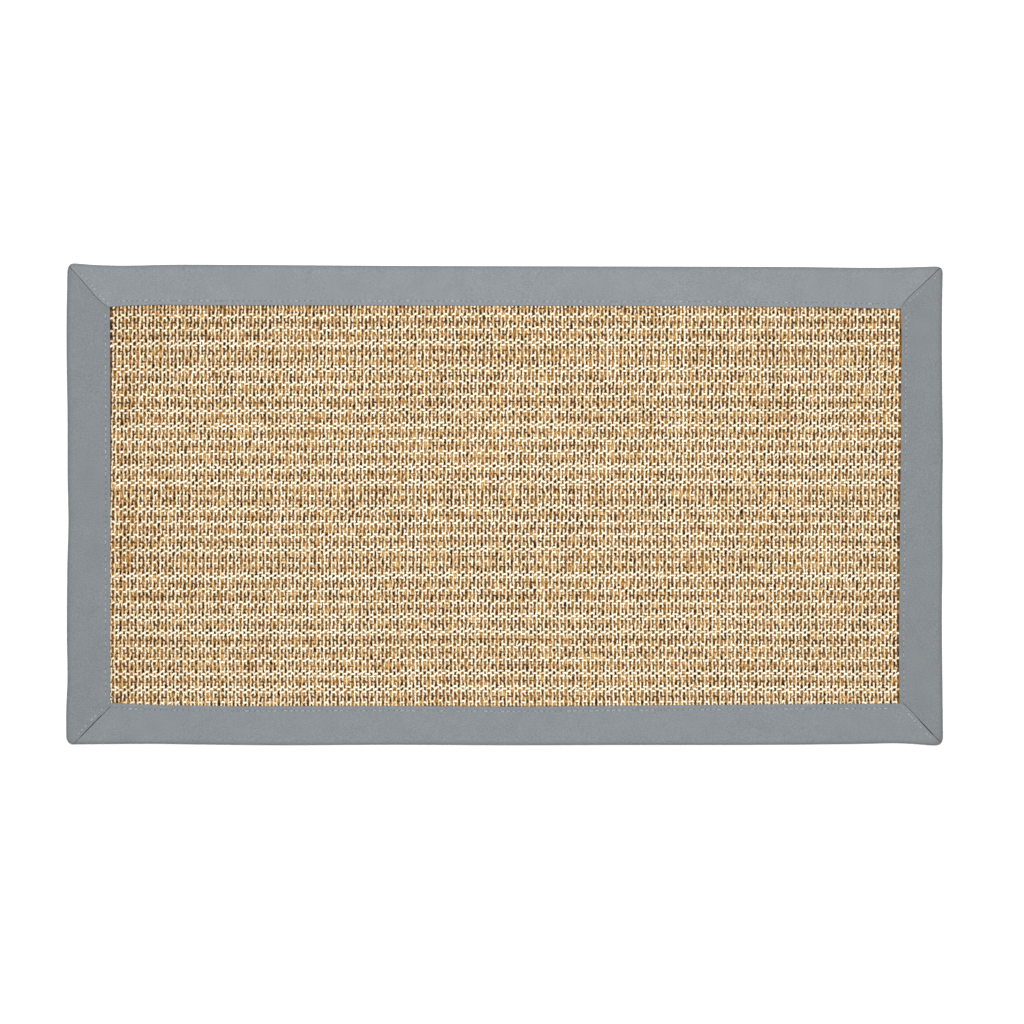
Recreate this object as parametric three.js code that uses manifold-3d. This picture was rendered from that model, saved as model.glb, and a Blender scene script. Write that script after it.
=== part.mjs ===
// A flat woven sisal rug edged with a folded cloth tape, lying flat on the floor.
// Sizes are millimetres. X runs along the rug, Y across it, and Z up from the floor.
import * as THREE from "three";
import { mergeVertices } from "three/addons/utils/BufferGeometryUtils.js";
import Module from "manifold-3d";

const wasm = await Module();
wasm.setup();

// Overall size and the cloths
const halfLength = 550;
const halfWidth = 300;
const borderedHeight = 6.8;
const tapeThickness = 1.2;
const clearance = 0.3;
const underLegWidth = 22;
const cornerReach = 9;

// The woven ribs of the sisal, which run across the rug
const ribCount = 207;
const ribPitch = 4.78;
const ribCrestShare = 0.4;
const ribCrestHeight = 6.5;
const ribValleyHeight = 5.7;
const plateOverlapHeight = 3;

// How closely the border follows its own edges
const cornerStations = [0, 3, 6, 9, 12, 16, 22];
const stationStep = 40;
const outlineStep = 20;
const outerFoldSteps = 6;
const innerFoldSteps = 4;

const sisalColour = 0xc4ac8a;
const tapeColour = 0x8f9498;

// The four sides in clockwise order. Each is described in its own frame, where "at" runs
// clockwise along the side from its middle. "out" is how far the outer edge stands outside
// the straight rectangle, and "wide" is how far the border's inner edge lies inside it.
const sides = [
  {
    name: "border_top",
    reach: halfWidth,
    half: halfLength,
    outer: [
      { at: -540, out: 2.8 },
      { at: -520, out: 1.2 },
      { at: -500, out: 0.3 },
      { at: -410, out: 1.2 },
      { at: -340, out: 1.0 },
      { at: -130, out: -0.3 },
      { at: 100, out: -0.9 },
      { at: 350, out: -1.6 },
      { at: 500, out: -2.3 },
      { at: 540, out: -1.1 },
    ],
    inner: [
      { at: -496, wide: 52.3 },
      { at: -464, wide: 50.0 },
      { at: -434, wide: 49.3 },
      { at: -400, wide: 49.9 },
      { at: 140, wide: 49.9 },
      { at: 290, wide: 51.2 },
      { at: 410, wide: 51.8 },
      { at: 442, wide: 52.9 },
      { at: 498, wide: 53.9 },
    ],
  },
  {
    name: "border_right",
    reach: halfLength,
    half: halfWidth,
    outer: [
      { at: -290, out: 0.2 },
      { at: -260, out: -0.4 },
      { at: -150, out: -0.5 },
      { at: -75, out: 0.4 },
      { at: 0, out: -0.3 },
      { at: 75, out: -0.1 },
      { at: 120, out: -0.7 },
      { at: 240, out: 0 },
      { at: 290, out: 0.6 },
    ],
    inner: [
      { at: -246, wide: 52.3 },
      { at: -214, wide: 51.0 },
      { at: -94, wide: 51.5 },
      { at: -33, wide: 52.4 },
      { at: 87, wide: 52.9 },
      { at: 118, wide: 53.7 },
      { at: 178, wide: 54.2 },
      { at: 250, wide: 53.9 },
    ],
  },
  {
    name: "border_bottom",
    reach: halfWidth,
    half: halfLength,
    outer: [
      { at: -535, out: 2.9 },
      { at: -515, out: 1.2 },
      { at: -492, out: 0.2 },
      { at: -454, out: 0.9 },
      { at: -394, out: 1.7 },
      { at: -133, out: 2.4 },
      { at: 0, out: 2.7 },
      { at: 130, out: 2.1 },
      { at: 305, out: 2.6 },
      { at: 381, out: 1.8 },
      { at: 440, out: 1.0 },
      { at: 540, out: 1.6 },
    ],
    inner: [
      { at: -496, wide: 49.7 },
      { at: -440, wide: 49.2 },
      { at: -320, wide: 48.7 },
      { at: -200, wide: 47.6 },
      { at: -110, wide: 46.6 },
      { at: -20, wide: 45.7 },
      { at: 343, wide: 45.7 },
      { at: 373, wide: 46.7 },
      { at: 434, wide: 47.7 },
      { at: 464, wide: 48.9 },
      { at: 496, wide: 50.7 },
    ],
  },
  {
    name: "border_left",
    reach: halfLength,
    half: halfWidth,
    outer: [
      { at: -295, out: 1.0 },
      { at: -280, out: 1.2 },
      { at: -255, out: 1.0 },
      { at: -226, out: -0.3 },
      { at: -165, out: 0.3 },
      { at: -75, out: -0.3 },
      { at: -22, out: -1.6 },
      { at: 30, out: -0.7 },
      { at: 120, out: -0.4 },
      { at: 167, out: 0.4 },
      { at: 227, out: 0.7 },
      { at: 294, out: -0.3 },
    ],
    inner: [
      { at: -249, wide: 54.3 },
      { at: -200, wide: 53.6 },
      { at: 248, wide: 53.6 },
    ],
  },
];

// How far each side's first mitre starts past the middle of its corner, clockwise.
// The lower left seam leaves the corner a little way along the bottom edge.
const mitreSlip = [0, 0, 0, -7];

// A smooth curve through one column of a side's table, held level past its ends.
function edgeCurve(rows, column) {
  const places = rows.map((row) => row.at);
  const values = rows.map((row) => row[column]);
  const curve = new THREE.CubicInterpolant(places, values, 1);
  return (at) => {
    const held = THREE.MathUtils.clamp(at, places[0], places[places.length - 1]);
    return curve.evaluate(held)[0];
  };
}

// A point of a side's own frame, turned to the rug's frame.
function toRug(sideIndex, at, distance) {
  return new THREE.Vector2(at, distance).rotateAround(new THREE.Vector2(), -sideIndex * Math.PI / 2);
}

// The rug's outer outline: four edges joined by small round corners.
function makeOutline() {
  const outline = new THREE.Path();
  const corners = [];
  sides.forEach((side, index) => {
    const edge = edgeCurve(side.outer, "out");
    const next = sides[(index + 1) % sides.length];
    const start = -side.half + cornerReach;
    const steps = Math.round(-2 * start / outlineStep);
    for (let i = 0; i <= steps; i++) {
      const at = THREE.MathUtils.lerp(start, -start, i / steps);
      const point = toRug(index, at, side.reach + edge(at));
      if (index === 0 && i === 0) outline.moveTo(point.x, point.y);
      else if (i > 0) outline.lineTo(point.x, point.y);
    }
    const nextEdge = edgeCurve(next.outer, "out");
    const nextStart = -next.half + cornerReach;
    const tip = toRug(index, next.reach + nextEdge(nextStart), side.reach + edge(-start));
    const after = toRug(index + 1, nextStart, next.reach + nextEdge(nextStart));
    outline.quadraticCurveTo(tip.x, tip.y, after.x, after.y);
    corners.push(outline.curves.length - 1);
  });
  const lengths = outline.getCurveLengths();
  const total = lengths[lengths.length - 1];
  const seams = corners.map((curve, index) => {
    const middle = (lengths[curve - 1] + lengths[curve]) / 2;
    return middle + mitreSlip[(index + 1) % sides.length];
  });
  return { outline, total, seams };
}

const { outline, total: outlineLength, seams } = makeOutline();

function outlinePoint(distance) {
  const share = THREE.MathUtils.euclideanModulo(distance, outlineLength) / outlineLength;
  return outline.getPoint(share);
}

// The border's inner corner where a side begins, in that side's frame.
function innerStart(index) {
  const side = sides[index];
  const before = sides[(index + sides.length - 1) % sides.length];
  return -(before.reach - before.inner[before.inner.length - 1].wide);
}

function innerEnd(index) {
  const next = sides[(index + 1) % sides.length];
  return next.reach - next.inner[0].wide;
}

// Distances along a strip where its section is laid, closer together near its two mitres.
function stationDistances(length) {
  const firstLong = cornerStations[cornerStations.length - 1];
  const steps = Math.round((length - 2 * firstLong) / stationStep);
  const middle = [];
  for (let i = 1; i < steps; i++) {
    middle.push(THREE.MathUtils.lerp(firstLong, length - firstLong, i / steps));
  }
  const far = cornerStations.map((distance) => length - distance).reverse();
  return [...cornerStations, ...middle, ...far];
}

// Each station joins a point of the outer edge to a point of the inner edge.
function stationsOf(index) {
  const side = sides[index];
  const wide = edgeCurve(side.inner, "wide");
  const outward = toRug(index, 0, 1);
  const seamBefore = seams[(index + sides.length - 1) % sides.length];
  const length = THREE.MathUtils.euclideanModulo(seams[index] - seamBefore, outlineLength);
  return stationDistances(length).map((distance) => {
    const share = distance / length;
    const at = THREE.MathUtils.lerp(innerStart(index), innerEnd(index), share);
    const outer = outlinePoint(seamBefore + distance);
    const inner = toRug(index, at, side.reach - wide(at));
    const width = outer.clone().sub(inner).dot(outward);
    return { outer, inner, width };
  });
}

// A place on a station at a depth in from the outer edge.
function atDepth(station, depth) {
  return station.outer.clone().lerp(station.inner, depth / station.width);
}

// The tape's folded section: out along the top, round the rug's edge and back underneath.
// Each point holds its depth in from the outer edge, or "edge" for the inner edge, and its height.
function tapeSection() {
  const foldRadius = borderedHeight / 2;
  const points = [{ depth: "edge", z: borderedHeight }];
  for (let i = 0; i <= outerFoldSteps; i++) {
    const angle = Math.PI * i / outerFoldSteps;
    points.push({
      depth: foldRadius * (1 - Math.sin(angle)),
      z: foldRadius * (1 + Math.cos(angle)),
    });
  }
  points.push({ depth: underLegWidth, z: 0 });
  points.push({ depth: underLegWidth, z: tapeThickness });
  const innerRadius = foldRadius - tapeThickness;
  for (let i = 0; i <= innerFoldSteps; i++) {
    const angle = Math.PI * (1 - i / innerFoldSteps);
    points.push({
      depth: foldRadius - innerRadius * Math.sin(angle),
      z: foldRadius + innerRadius * Math.cos(angle),
    });
  }
  points.push({ depth: "edge", z: borderedHeight - tapeThickness });
  return points;
}

// One border strip, its section carried along from mitre to mitre.
function stripGeometry(index) {
  const section = tapeSection();
  const stations = stationsOf(index);
  const last = stations.length - 1;
  const along = toRug(index, 1, 0);
  const mitreSetback = clearance / Math.SQRT2;
  const shift = (i) => {
    if (i === 0) return mitreSetback;
    return i === last ? -mitreSetback : 0;
  };
  const positions = [];
  stations.forEach((station, i) => {
    for (const point of section) {
      const depth = point.depth === "edge" ? station.width : point.depth;
      const place = atDepth(station, depth).addScaledVector(along, shift(i));
      positions.push(place.x, place.y, point.z);
    }
  });
  const count = section.length;
  const faces = [];
  for (let i = 0; i < last; i++) {
    for (let j = 0; j < count; j++) {
      const a = i * count + j;
      const b = i * count + (j + 1) % count;
      faces.push(a, b + count, b, a, a + count, b + count);
    }
  }
  const flat = section.map((point) => {
    const depth = point.depth === "edge" ? stations[0].width : point.depth;
    return new THREE.Vector2(depth, point.z);
  });
  const end = last * count;
  for (const [a, b, c] of THREE.ShapeUtils.triangulateShape(flat, [])) {
    faces.push(a, b, c);
    faces.push(end + a, end + c, end + b);
  }
  const geometry = new THREE.BufferGeometry();
  geometry.setAttribute("position", new THREE.Float32BufferAttribute(positions, 3));
  geometry.setIndex(faces);
  return geometry;
}

// A closed outline all round the rug at one depth in from the outer edge.
// Past the inner edge, "extra" is added to each station's own width.
function ringShape(depth, extra = 0) {
  const points = sides.flatMap((side, index) =>
    stationsOf(index).slice(0, -1).map((station) => atDepth(station, depth ?? station.width + extra)),
  );
  return new THREE.Shape(points);
}

function plate(shape, low, high) {
  const geometry = new THREE.ExtrudeGeometry(shape, { depth: high - low, bevelEnabled: false });
  return geometry.translate(0, 0, low);
}

// The ribs' zigzag top, carried straight across the rug.
function ribbedBlock() {
  const firstRib = -ribCount * ribPitch / 2;
  const slope = ribPitch * (1 - ribCrestShare) / 2;
  const profile = new THREE.Shape();
  profile.moveTo(-halfLength, plateOverlapHeight);
  profile.lineTo(halfLength, plateOverlapHeight);
  profile.lineTo(halfLength, ribValleyHeight);
  for (let i = ribCount; i > 0; i--) {
    const right = firstRib + i * ribPitch;
    profile.lineTo(right, ribValleyHeight);
    profile.lineTo(right - slope, ribCrestHeight);
    profile.lineTo(right - ribPitch + slope, ribCrestHeight);
  }
  profile.lineTo(firstRib, ribValleyHeight);
  profile.lineTo(-halfLength, ribValleyHeight);
  const geometry = new THREE.ExtrudeGeometry(profile, { depth: 2 * halfWidth, bevelEnabled: false });
  return geometry.rotateX(Math.PI / 2).translate(0, halfWidth, 0);
}

function solidFrom(geometry) {
  const bare = geometry.clone();
  bare.deleteAttribute("normal");
  bare.deleteAttribute("uv");
  const merged = mergeVertices(bare);
  return new wasm.Manifold(new wasm.Mesh({
    numProp: 3,
    vertProperties: merged.attributes.position.array,
    triVerts: new Uint32Array(merged.index.array),
  }));
}

function geometryFrom(solid) {
  const mesh = solid.getMesh();
  const geometry = new THREE.BufferGeometry();
  geometry.setAttribute("position", new THREE.BufferAttribute(mesh.vertProperties, 3));
  geometry.setIndex(new THREE.BufferAttribute(mesh.triVerts, 1));
  return geometry;
}

// The sisal cloth: a ribbed panel inside the border, pressed thinner under the tape's top leg
// and stepped up over its under-leg, so that cloth and tape lie on the floor together.
function sisalGeometry() {
  const rimLow = tapeThickness + clearance;
  const rimHigh = borderedHeight - tapeThickness - clearance;
  const rim = solidFrom(plate(ringShape(borderedHeight / 2), rimLow, rimHigh));
  const base = solidFrom(plate(ringShape(underLegWidth + clearance), 0, plateOverlapHeight));
  const opening = plate(ringShape(null, clearance), plateOverlapHeight - clearance, borderedHeight);
  const ribs = solidFrom(ribbedBlock()).intersect(solidFrom(opening));
  return geometryFrom(rim.add(base).add(ribs));
}

function clothMesh(name, geometry, color, roughness) {
  const material = new THREE.MeshStandardMaterial({ color, roughness, metalness: 0 });
  const mesh = new THREE.Mesh(geometry, material);
  mesh.name = name;
  return mesh;
}

const group = new THREE.Group();
group.name = "rug";
group.add(clothMesh("sisal_field", sisalGeometry(), sisalColour, 0.85));
sides.forEach((side, index) => {
  group.add(clothMesh(side.name, stripGeometry(index), tapeColour, 0.9));
});

export default group;
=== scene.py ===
import math

import bpy
import numpy as np
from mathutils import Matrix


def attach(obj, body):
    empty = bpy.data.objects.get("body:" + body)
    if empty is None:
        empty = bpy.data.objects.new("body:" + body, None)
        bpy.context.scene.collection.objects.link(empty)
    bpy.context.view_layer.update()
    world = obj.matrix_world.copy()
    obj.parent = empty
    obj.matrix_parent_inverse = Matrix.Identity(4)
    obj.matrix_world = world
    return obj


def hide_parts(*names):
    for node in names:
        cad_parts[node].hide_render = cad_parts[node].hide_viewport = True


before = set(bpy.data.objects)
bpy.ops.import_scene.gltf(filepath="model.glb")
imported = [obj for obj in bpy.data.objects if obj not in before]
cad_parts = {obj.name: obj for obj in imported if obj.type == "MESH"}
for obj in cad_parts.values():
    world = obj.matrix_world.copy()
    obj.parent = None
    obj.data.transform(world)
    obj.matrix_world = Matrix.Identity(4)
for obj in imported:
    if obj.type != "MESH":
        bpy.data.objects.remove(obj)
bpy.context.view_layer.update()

# The view and the light. The rug lies on a plain white studio floor and is seen from
# straight above, under a wide soft light that is a little stronger from its upper side.
PHOTO_SPAN = 1.2877
PHOTO_CENTRE = (0.0090, -0.0097)
CAMERA_HEIGHT = 8.0
SENSOR_WIDTH = 36.0
FLOOR_SIZE = 12.0
FLOOR_DROP = 0.0002
SKY_STRENGTH = 0.27
LIGHT_SIZE = 1.8
LIGHT_POWER = 148


def linked(name, data):
    """A new object of the scene, made of the given data."""
    made = bpy.data.objects.new(name, data)
    bpy.context.collection.objects.link(made)
    return made


lens_data = bpy.data.cameras.new("camera")
lens_data.sensor_width = SENSOR_WIDTH
lens_data.lens = SENSOR_WIDTH * CAMERA_HEIGHT / PHOTO_SPAN
lens_data.clip_end = 100
camera = linked("camera", lens_data)
camera.location = (*PHOTO_CENTRE, CAMERA_HEIGHT)
bpy.context.scene.camera = camera
bpy.context.scene.view_settings.view_transform = "Standard"


def plain_material(name, color, roughness):
    material = bpy.data.materials.new(name)
    material.use_nodes = True
    shader = material.node_tree.nodes["Principled BSDF"]
    shader.inputs["Base Color"].default_value = (*color, 1)
    shader.inputs["Roughness"].default_value = roughness
    return material


def mesh_object(name, vertices, faces):
    data = bpy.data.meshes.new(name)
    data.from_pydata(vertices, [], faces)
    return linked(name, data)


def grid_faces(number):
    """The four-cornered faces between neighbours in a grid of point numbers."""
    corners = [number[:-1, :-1], number[1:, :-1], number[1:, 1:], number[:-1, 1:]]
    return [tuple(face) for face in np.stack(corners, -1).reshape(-1, 4)]


def keep_values(data, name, values):
    """Keeps one number for each point of a mesh, for the materials and trees to read."""
    data.attributes.new(name, "FLOAT", "POINT").data.foreach_set("value", values)


half_floor = FLOOR_SIZE / 2
floor = mesh_object(
    "floor",
    [(x * half_floor, y * half_floor, -FLOOR_DROP) for x, y in ((-1, -1), (1, -1), (1, 1), (-1, 1))],
    [(0, 1, 2, 3)],
)
floor.data.materials.append(plain_material("white_floor", (0.94, 0.94, 0.94), 0.9))

world = bpy.data.worlds.new("studio")
world.use_nodes = True
sky = world.node_tree.nodes["Background"].inputs
sky["Color"].default_value = (1, 1, 1, 1)
sky["Strength"].default_value = SKY_STRENGTH
bpy.context.scene.world = world


def soft_light(name, place, aim, size, power):
    light = bpy.data.lights.new(name, "AREA")
    light.shape = "SQUARE"
    light.size = size
    light.energy = power
    lamp = linked(name, light)
    lamp.location = place
    towards = np.array(place) - np.array(aim)
    lamp.rotation_euler = (
        math.atan2(math.hypot(towards[0], towards[1]), towards[2]),
        0,
        math.atan2(towards[0], -towards[1]),
    )


soft_light("overhead_light", (0, 0.3, 3.2), (0, 0, 0), LIGHT_SIZE, LIGHT_POWER)

# The sisal cloth's ground: the stiff woven back that the ribs stand on, with thin brown
# binding ends in the furrows between the ribs. It is pressed thinner under the border tape
# and stepped up over the tape's under-leg, and its underside is a plain pale latex coat.
MM = 0.001
CORNER_REACH = 9
OUTLINE_STEP = 2
CORNER_STEPS = 14

# Each side in clockwise order, in its own frame: "at" runs clockwise from the side's middle,
# "out" is how far the outer edge stands outside the straight rectangle, and "wide" how far
# the border's inner edge lies inside it. Millimetres.
BORDER_SIDES = [
    {
        "name": "border_top", "reach": 300, "half": 550,
        "outer": {
            "at": [-540, -520, -500, -410, -340, -130, 100, 350, 500, 540],
            "out": [2.8, 1.2, 0.3, 1.2, 1.0, -0.3, -0.9, -1.6, -2.3, -1.1],
        },
        "inner": {
            "at": [-496, -464, -434, -400, -245, -19, 140, 254, 345, 410, 442, 498],
            "wide": [52.3, 50.3, 49.6, 50.0, 50.2, 50.6, 50.8, 51.2, 52.3, 52.8, 53.6, 54.3],
        },
    },
    {
        "name": "border_right", "reach": 550, "half": 300,
        "outer": {
            "at": [-290, -260, -150, -75, 0, 75, 120, 240, 290],
            "out": [0.2, -0.4, -0.5, 0.4, -0.3, -0.1, -0.7, 0, 0.6],
        },
        "inner": {
            "at": [-246, -214, -144, -94, -33, 7, 87, 118, 178, 250],
            "wide": [52.6, 51.7, 52.4, 52.3, 53.0, 53.6, 54.1, 54.5, 54.8, 54.3],
        },
    },
    {
        "name": "border_bottom", "reach": 300, "half": 550,
        "outer": {
            "at": [-535, -515, -492, -454, -394, -133, 0, 130, 305, 381, 440, 540],
            "out": [2.9, 1.2, 0.2, 0.9, 1.7, 2.4, 2.7, 2.1, 2.6, 1.8, 1.0, 1.6],
        },
        "inner": {
            "at": [-496, -440, -320, -200, -110, -20, 20, 110, 200, 290, 343, 373, 434, 464, 496],
            "wide": [49.7, 49.2, 48.5, 47.5, 46.6, 45.8, 45.9, 46.6, 46.6, 46.4, 46.3, 46.9, 47.8,
                     48.9, 50.7],
        },
    },
    {
        "name": "border_left", "reach": 550, "half": 300,
        "outer": {
            "at": [-295, -280, -255, -226, -165, -75, -22, 30, 120, 167, 227, 294],
            "out": [1.0, 1.2, 1.0, -0.3, 0.3, -0.3, -1.6, -0.7, -0.4, 0.4, 0.7, -0.3],
        },
        "inner": {
            "at": [-249, -158, -7, 69, 144, 248],
            "wide": [54.4, 54.3, 54.4, 54.4, 54.3, 53.9],
        },
    },
]
# The seam of the lower left corner leaves it a little way along the bottom edge.
MITRE_SLIP = [0, 0, 0, -7]


def smooth_column(table, column):
    """A smooth curve through a table's rows, held level past its ends."""
    places = np.array(table["at"], float)
    values = np.array(table[column], float)
    slopes = np.gradient(values, places)

    def value_at(at):
        at = np.clip(at, places[0], places[-1])
        left = np.clip(np.searchsorted(places, at, side="right") - 1, 0, len(places) - 2)
        gap = places[left + 1] - places[left]
        t = (at - places[left]) / gap
        rise = t * t * (3 - 2 * t)
        lead = t * (1 - t) ** 2 * gap
        tail = t * t * (t - 1) * gap
        return (
            values[left] * (1 - rise) + values[left + 1] * rise
            + slopes[left] * lead + slopes[left + 1] * tail
        )

    return value_at


outer_edges = [smooth_column(side["outer"], "out") for side in BORDER_SIDES]
border_widths = [smooth_column(side["inner"], "wide") for side in BORDER_SIDES]


def to_rug(side, at, reach):
    """A point of a side's own frame, turned to the rug's frame."""
    at, reach = np.broadcast_arrays(np.asarray(at, float), np.asarray(reach, float))
    turned = [(at, reach), (reach, -at), (-at, -reach), (-reach, at)][side % 4]
    return np.stack(turned, -1)


def rug_outline():
    """The outer outline as a dense closed line, and where along it each mitre seam lies."""
    runs = []
    seams = []
    length = 0
    for index, side in enumerate(BORDER_SIDES):
        following = (index + 1) % 4
        start = -side["half"] + CORNER_REACH
        at = np.linspace(start, -start, round(-2 * start / OUTLINE_STEP) + 1)
        edge = to_rug(index, at, side["reach"] + outer_edges[index](at))
        next_side = BORDER_SIDES[following]
        next_start = -next_side["half"] + CORNER_REACH
        next_reach = next_side["reach"] + outer_edges[following](next_start)
        tip = to_rug(index, next_reach, side["reach"] + outer_edges[index](-start))
        after = to_rug(following, next_start, next_reach)
        t = np.linspace(0, 1, CORNER_STEPS + 1)[1:-1, None]
        corner = (1 - t) ** 2 * edge[-1] + 2 * t * (1 - t) * tip + t * t * after
        runs += [edge, corner]
        length += np.linalg.norm(np.diff(edge, axis=0), axis=1).sum()
        turn = np.vstack([edge[-1:], corner, after[None]])
        corner_length = np.linalg.norm(np.diff(turn, axis=0), axis=1).sum()
        seams.append(length + corner_length / 2 + MITRE_SLIP[following])
        length += corner_length
    line = np.vstack([*runs, runs[0][:1]])
    along = np.concatenate([[0], np.cumsum(np.linalg.norm(np.diff(line, axis=0), axis=1))])
    return line, along, seams


outline_points, outline_along, mitre_seams = rug_outline()
OUTLINE_LENGTH = outline_along[-1]


def side_span(index):
    """Where a side's strip starts along the outline, and how long it is."""
    before = mitre_seams[index - 1]
    return before, (mitre_seams[index] - before) % OUTLINE_LENGTH


def inner_span(index):
    """The ends of the border's inner edge, in the side's own frame."""
    before = BORDER_SIDES[index - 1]
    after = BORDER_SIDES[(index + 1) % 4]
    return before["inner"]["wide"][-1] - before["reach"], after["reach"] - after["inner"]["wide"][0]


def border_points(index, share, depth, from_inner=False):
    """Points of a strip at a share of its length and a depth in from its outer edge, or,
    where from_inner is true, in from its inner edge. Millimetres, in the rug's frame."""
    share = np.asarray(share, float)
    start, length = side_span(index)
    place = (start + share * length) % OUTLINE_LENGTH
    outer = np.stack([np.interp(place, outline_along, outline_points[:, k]) for k in (0, 1)], -1)
    low, high = inner_span(index)
    at = low + share * (high - low)
    inner = to_rug(index, at, BORDER_SIDES[index]["reach"] - border_widths[index](at))
    width = (outer - inner) @ to_rug(index, 0, 1)
    depth = width + depth if from_inner else np.broadcast_to(depth, width.shape)
    return outer + (inner - outer) * (depth / width)[..., None]


# The weave's chart. Ribs stand side by side across the rug. Every second one, the looped
# rib, dips under a brown cross yarn at the end of each band, and between two dips pale
# bridging yarns join it in turn to its left and right neighbour.
RIB_PITCH = 4.782
PICK = 3.247
LOOPED_RIB_PLACE = -1.5
FIRST_DIP = 228.9
BAND_PICKS = [5, 6, 4, 6, 5, 5, 6, 6, 5, 5, 6, 6, 4, 6, 5]
BANDS_ABOVE = 2
BANDS_IN_ALL = 31
RIBS_EACH_WAY = 104


def weave_chart():
    """What each pick does, from the top: "dip", "bead", "left" or "right", and, beside each
    looped rib, how open the furrow is, from 0 for a hole to 1 for a binding end on show.
    The furrow's colour darkens with it too: painted shade in the holes."""
    order = [BAND_PICKS[(k - BANDS_ABOVE) % len(BAND_PICKS)] for k in range(BANDS_IN_ALL)]
    roles = []
    left_fill = []
    right_fill = []
    for picks in order:
        roles += ["dip", "bead"]
        left_fill += [0.7, 0.45 if picks == 5 else 0.28]
        right_fill += [0.9, 0.25 if picks == 5 else 0.42]
        for k in range(2, picks - 1):
            bridge_left = (picks - 2 - k) % 2 == 0
            roles.append("left" if bridge_left else "right")
            left_fill.append(0.5 if bridge_left else 0.35)
            last = k == picks - 2
            right_fill.append(0.45 if last else (0.15 if bridge_left else 0.5))
        roles.append("bead")
        left_fill.append(0.55)
        right_fill.append(0.42)
    return roles, np.array(left_fill), np.array(right_fill), sum(order[:BANDS_ABOVE])


pick_roles, left_fill, right_fill, picks_above = weave_chart()
pick_places = FIRST_DIP + (picks_above - np.arange(len(pick_roles))) * PICK
rib_numbers = np.arange(-RIBS_EACH_WAY, RIBS_EACH_WAY + 1)
rib_places = LOOPED_RIB_PLACE + rib_numbers * RIB_PITCH


def inside_border(x, y):
    """How far a point of the weave lies inside the border's inner edge."""
    top = BORDER_SIDES[0]["reach"] - border_widths[0](x) - y
    right = BORDER_SIDES[1]["reach"] - border_widths[1](-y) - x
    bottom = y + BORDER_SIDES[2]["reach"] - border_widths[2](-x)
    left = x + BORDER_SIDES[3]["reach"] - border_widths[3](y)
    return np.minimum(np.minimum(top, bottom), np.minimum(left, right))


# The tape presses the weave down to this height, from just under its edge to a little
# inside it.
PRESSED_TOP = 5.3
PRESSED_FROM = -0.6
PRESSED_REACH = 2.4


def pressed(x, y, height):
    """The height of the weave where the border tape presses it down along its edge."""
    share = np.clip((inside_border(x, y) - PRESSED_FROM) / PRESSED_REACH, 0, 1)
    share = share * share * (3 - 2 * share)
    return np.minimum(height, PRESSED_TOP + (height - PRESSED_TOP) * share)


# The loom's tension is never even, so the ribs crowd together in two places along the rug
# and lean a little across it, and the picks bow. Millimetres.
RIB_CROWDING = smooth_column({
    "at": [-500, -468, -393, -318, -288, -257, -227, -167, 210, 361, 406, 437, 467, 500],
    "shift": [5.0, 4.9, 4.2, 3.1, 2.7, 1.2, 0.4, -0.1, 0.1, 0.1, -0.6, -1.9, -2.6, -3.0],
}, "shift")
RIB_LEAN = smooth_column({
    "at": [-260, -233, -158, -82, -7, 69, 144, 220, 260],
    "shift": [-0.5, -0.8, -1.35, -0.95, -0.4, 0.4, 1.2, 1.9, 2.2],
}, "shift")
PICK_BOW = smooth_column({
    "at": [-500, -270, -170, -119, 180, 283, 334, 500],
    "shift": [-0.9, -0.6, -0.3, 0.3, 0.4, 0.3, -0.3, -0.3],
}, "shift")


def hand_drift(x, y):
    """How far the ribs stand aside from an even spacing at a place on the rug."""
    fine = 0.22 * np.sin(y / 27 + x / 39) + 0.16 * np.sin(y / 9 + x * 1.7)
    return RIB_CROWDING(x) + RIB_LEAN(y) + fine


def pick_bow(x, y):
    """How far a pick stands above a straight line across the ribs."""
    return PICK_BOW(x) + 0.3 * np.sin(x / 24 + y / 17) + 0.2 * np.sin(x / 10 + y * 1.3)


# Where the sisal's tone is made darker: near the left and right ends and the upper edge.
DARK_STRIPS = [
    {"axis": 0, "at": -490, "reach": 90, "darker": 0.11},
    {"axis": 0, "at": 490, "reach": 60, "darker": 0.03},
    {"axis": 1, "at": 250, "reach": 45, "darker": 0.07},
]


def edge_darkening(x, y):
    """How much the yarns' tone falls in the darker strips, which fade out with distance."""
    return -sum(
        strip["darker"] * np.exp(-np.abs((x, y)[strip["axis"]] - strip["at"]) / strip["reach"])
        for strip in DARK_STRIPS
    )


chance = np.random.default_rng(41)
FURROW_LOW = 3.0
FURROW_HIGH = 4.9
RIM_LOW = 1.5
RIM_HIGH = 5.3
FOLD_RADIUS = 3.4
UNDER_LEG = 22.3
FURROW_INSET = 0.8
FURROW_SPREAD = 0.36
# The ground's rim along the tape's inner edge, and its step under the tape, are coloured darker:
# painted shadow where the tape meets the weave.
RIM_PAINTED_SHADE_FILL = 0.6
RIM_PAINTED_SHADE_TONE = 0.3
GROUND_TUCK = 1.0


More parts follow.
